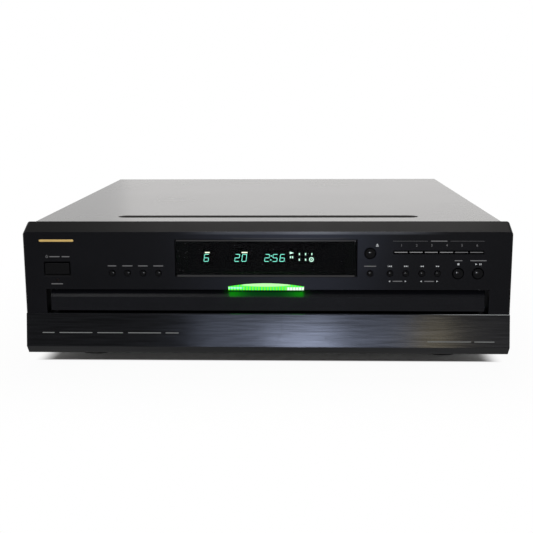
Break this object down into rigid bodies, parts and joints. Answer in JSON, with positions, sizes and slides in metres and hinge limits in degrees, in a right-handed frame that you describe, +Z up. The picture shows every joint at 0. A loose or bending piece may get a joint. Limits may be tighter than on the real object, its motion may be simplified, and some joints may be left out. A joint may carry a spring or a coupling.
{
  "type": "carousel cd changer",
  "caption": "Full-width disc changer: wide flat case, front panel with display and keys, and a sliding tray that holds a turning disc carousel.",
  "frame": {"origin": "on the table, under the middle of the whole outline", "axes": "+X to the right of someone facing the machine, +Y from its front to its back, +Z up"},
  "size_m": [0.435, 0.43, 0.131],
  "materials": {
    "cover_paint": "fine satin black paint",
    "rear_paint": "satin black paint",
    "plated_sheet": "zinc plated sheet",
    "panel_plastic": "finely brushed satin black",
    "trim_metal": "brushed, dark anodised",
    "smoked_window": "smoked, polished",
    "tube_glass": "dark display glass",
    "front_circuit_board": "solder mask with black switches",
    "circuit_board": "solder mask",
    "green_lens": "lit green, fine ribs",
    "foot_rubber": "matte",
    "screw_steel": "black oxide",
    "jack_metal": "plated",
    "socket_plastic": "moulded",
    "core_steel": "varnished sheets",
    "coil_tape": "yellow tape",
    "mechanism_plastic": "moulded",
    "sled_metal": "die cast",
    "motor_steel": "drawn can",
    "rod_steel": "ground",
    "belt_rubber": "smooth",
    "gear_plastic": "moulded ivory",
    "hub_plastic": "moulded",
    "tray_plastic": "fine moulded grain",
    "tray_front_plastic": "finely brushed satin black",
    "carousel_plastic": "fine moulded grain",
    "key_plastic": "satin",
    "bar_key_plastic": "satin with a pale line"
  },
  "bodies": {
    "case": {"bottom_chassis": "plated_sheet", "rear_panel": "rear_paint", "top_cover": "cover_paint", "front_panel": "panel_plastic", "lower_trim": "trim_metal", "display_window": "smoked_window", "display_tube": "tube_glass", "panel_board": "front_circuit_board", "tray_light_lens": "green_lens", "feet": "foot_rubber", "screws": "screw_steel", "phono_jacks": "jack_metal", "rear_sockets": "socket_plastic", "cord_gland": "socket_plastic", "main_board": "circuit_board", "transformer_core": "core_steel", "transformer_coil": "coil_tape", "tray_guides": "plated_sheet", "mechanism_base": "mechanism_plastic", "clamp_bridge": "plated_sheet", "loading_bracket": "plated_sheet", "loading_motor": "motor_steel", "loading_belt": "belt_rubber", "lift_motor": "motor_steel"},
    "tray_body": {"tray": "tray_plastic", "tray_front": "tray_front_plastic", "deck_cover": "tray_plastic", "carousel_motor": "motor_steel", "carousel_cap": "carousel_plastic"},
    "carousel_body": {"carousel": "carousel_plastic"},
    "carousel_drive": {"carousel_drive_gear": "gear_plastic"},
    "loading_wheel": {"loading_gear": "gear_plastic"},
    "motor_wheel": {"motor_pulley": "gear_plastic"},
    "pickup": {"pickup_chassis": "mechanism_plastic", "guide_rods": "rod_steel", "spindle_motor": "motor_steel"},
    "spindle": {"spindle_hub": "hub_plastic"},
    "sled": {"laser_sled": "sled_metal"},
    "clamp": {"clamp_puck": "mechanism_plastic"},
    "cam": {"lift_cam": "gear_plastic"},
    "lift_wheel": {"lift_gear": "gear_plastic"},
    "power_button": {"power_button": "key_plastic"},
    "repeat_button": {"repeat_button": "key_plastic"},
    "random_button": {"random_button": "key_plastic"},
    "dimmer_button": {"dimmer_button": "key_plastic"},
    "display_button": {"display_button": "key_plastic"},
    "disc_skip_button": {"disc_skip_button": "key_plastic"},
    "track_back_button": {"track_back_button": "key_plastic"},
    "track_forward_button": {"track_forward_button": "key_plastic"},
    "search_back_button": {"search_back_button": "key_plastic"},
    "search_forward_button": {"search_forward_button": "key_plastic"},
    "stop_button": {"stop_button": "key_plastic"},
    "play_button": {"play_button": "key_plastic"},
    "open_close_button": {"open_close_button": "key_plastic"},
    "disc_1_button": {"disc_1_button": "bar_key_plastic"},
    "disc_2_button": {"disc_2_button": "bar_key_plastic"},
    "disc_3_button": {"disc_3_button": "bar_key_plastic"},
    "disc_4_button": {"disc_4_button": "bar_key_plastic"},
    "disc_5_button": {"disc_5_button": "bar_key_plastic"},
    "disc_6_button": {"disc_6_button": "bar_key_plastic"}
  },
  "joints": [
    {"name": "tray_slide", "type": "slide", "parent": "case", "child": "tray_body", "axis": [0, -1, 0], "range_m": [0, 0.24]},
    {"name": "carousel_spin", "type": "hinge", "parent": "tray_body", "child": "carousel_body", "pos_m": [0, -0.006, 0.0606], "axis": [0, 0, 1], "continuous": true},
    {"name": "carousel_drive_spin", "type": "hinge", "parent": "tray_body", "child": "carousel_drive", "pos_m": [-0.14319, -0.14919, 0.058], "axis": [0, 0, 1], "continuous": true},
    {"name": "loading_gear_spin", "type": "hinge", "parent": "case", "child": "loading_wheel", "pos_m": [-0.1665, -0.15, 0.05], "axis": [0, 0, 1], "range_deg": [0, 920]},
    {"name": "motor_pulley_spin", "type": "hinge", "parent": "case", "child": "motor_wheel", "pos_m": [-0.1335, -0.132, 0.038], "axis": [0, 0, 1], "range_deg": [0, 3265]},
    {"name": "pickup_lift", "type": "slide", "parent": "case", "child": "pickup", "axis": [0, 0, 1], "range_m": [0, 0.0175]},
    {"name": "lift_cam_slide", "type": "slide", "parent": "case", "child": "cam", "axis": [1, 0, 0], "range_m": [0, 0.0176]},
    {"name": "lift_gear_spin", "type": "hinge", "parent": "case", "child": "lift_wheel", "pos_m": [0, 0.0205, 0.018], "axis": [0, 0, 1], "range_deg": [-126, 0]},
    {"name": "sled_slide", "type": "slide", "parent": "pickup", "child": "sled", "axis": [0, -1, 0], "range_m": [0, 0.034]},
    {"name": "spindle_spin", "type": "hinge", "parent": "pickup", "child": "spindle", "pos_m": [0, 0.117, 0.046], "axis": [0, 0, 1], "continuous": true},
    {"name": "clamp_spin", "type": "hinge", "parent": "case", "child": "clamp", "pos_m": [0, 0.117, 0.07], "axis": [0, 0, 1], "continuous": true},
    {"name": "power_press", "type": "slide", "parent": "case", "child": "power_button", "axis": [0, 1, 0], "range_m": [0, 0.0016], "stiffness_N_per_m": 400},
    {"name": "repeat_press", "type": "slide", "parent": "case", "child": "repeat_button", "axis": [0, 1, 0], "range_m": [0, 0.0008], "stiffness_N_per_m": 400},
    {"name": "random_press", "type": "slide", "parent": "case", "child": "random_button", "axis": [0, 1, 0], "range_m": [0, 0.0008], "stiffness_N_per_m": 400},
    {"name": "dimmer_press", "type": "slide", "parent": "case", "child": "dimmer_button", "axis": [0, 1, 0], "range_m": [0, 0.0008], "stiffness_N_per_m": 400},
    {"name": "display_press", "type": "slide", "parent": "case", "child": "display_button", "axis": [0, 1, 0], "range_m": [0, 0.0008], "stiffness_N_per_m": 400},
    {"name": "disc_skip_press", "type": "slide", "parent": "case", "child": "disc_skip_button", "axis": [0, 1, 0], "range_m": [0, 0.0008], "stiffness_N_per_m": 400},
    {"name": "track_back_press", "type": "slide", "parent": "case", "child": "track_back_button", "axis": [0, 1, 0], "range_m": [0, 0.0008], "stiffness_N_per_m": 400},
    {"name": "track_forward_press", "type": "slide", "parent": "case", "child": "track_forward_button", "axis": [0, 1, 0], "range_m": [0, 0.0008], "stiffness_N_per_m": 400},
    {"name": "search_back_press", "type": "slide", "parent": "case", "child": "search_back_button", "axis": [0, 1, 0], "range_m": [0, 0.0008], "stiffness_N_per_m": 400},
    {"name": "search_forward_press", "type": "slide", "parent": "case", "child": "search_forward_button", "axis": [0, 1, 0], "range_m": [0, 0.0008], "stiffness_N_per_m": 400},
    {"name": "stop_press", "type": "slide", "parent": "case", "child": "stop_button", "axis": [0, 1, 0], "range_m": [0, 0.001], "stiffness_N_per_m": 400},
    {"name": "play_press", "type": "slide", "parent": "case", "child": "play_button", "axis": [0, 1, 0], "range_m": [0, 0.001], "stiffness_N_per_m": 400},
    {"name": "open_close_press", "type": "slide", "parent": "case", "child": "open_close_button", "axis": [0, 1, 0], "range_m": [0, 0.001], "stiffness_N_per_m": 400},
    {"name": "disc_1_press", "type": "slide", "parent": "case", "child": "disc_1_button", "axis": [0, 1, 0], "range_m": [0, 0.0008], "stiffness_N_per_m": 400},
    {"name": "disc_2_press", "type": "slide", "parent": "case", "child": "disc_2_button", "axis": [0, 1, 0], "range_m": [0, 0.0008], "stiffness_N_per_m": 400},
    {"name": "disc_3_press", "type": "slide", "parent": "case", "child": "disc_3_button", "axis": [0, 1, 0], "range_m": [0, 0.0008], "stiffness_N_per_m": 400},
    {"name": "disc_4_press", "type": "slide", "parent": "case", "child": "disc_4_button", "axis": [0, 1, 0], "range_m": [0, 0.0008], "stiffness_N_per_m": 400},
    {"name": "disc_5_press", "type": "slide", "parent": "case", "child": "disc_5_button", "axis": [0, 1, 0], "range_m": [0, 0.0008], "stiffness_N_per_m": 400},
    {"name": "disc_6_press", "type": "slide", "parent": "case", "child": "disc_6_button", "axis": [0, 1, 0], "range_m": [0, 0.0008], "stiffness_N_per_m": 400}
  ],
  "couplings": [
    {"joint": "carousel_drive_spin", "follows": "carousel_spin", "ratio": -4.4},
    {"joint": "loading_gear_spin", "follows": "tray_slide", "rad_per_m": 66.667},
    {"joint": "motor_pulley_spin", "follows": "tray_slide", "rad_per_m": 237.04},
    {"joint": "lift_cam_slide", "follows": "pickup_lift", "ratio": 1},
    {"joint": "lift_gear_spin", "follows": "pickup_lift", "rad_per_m": -125},
    {"joint": "clamp_spin", "follows": "spindle_spin", "ratio": 1}
  ]
}
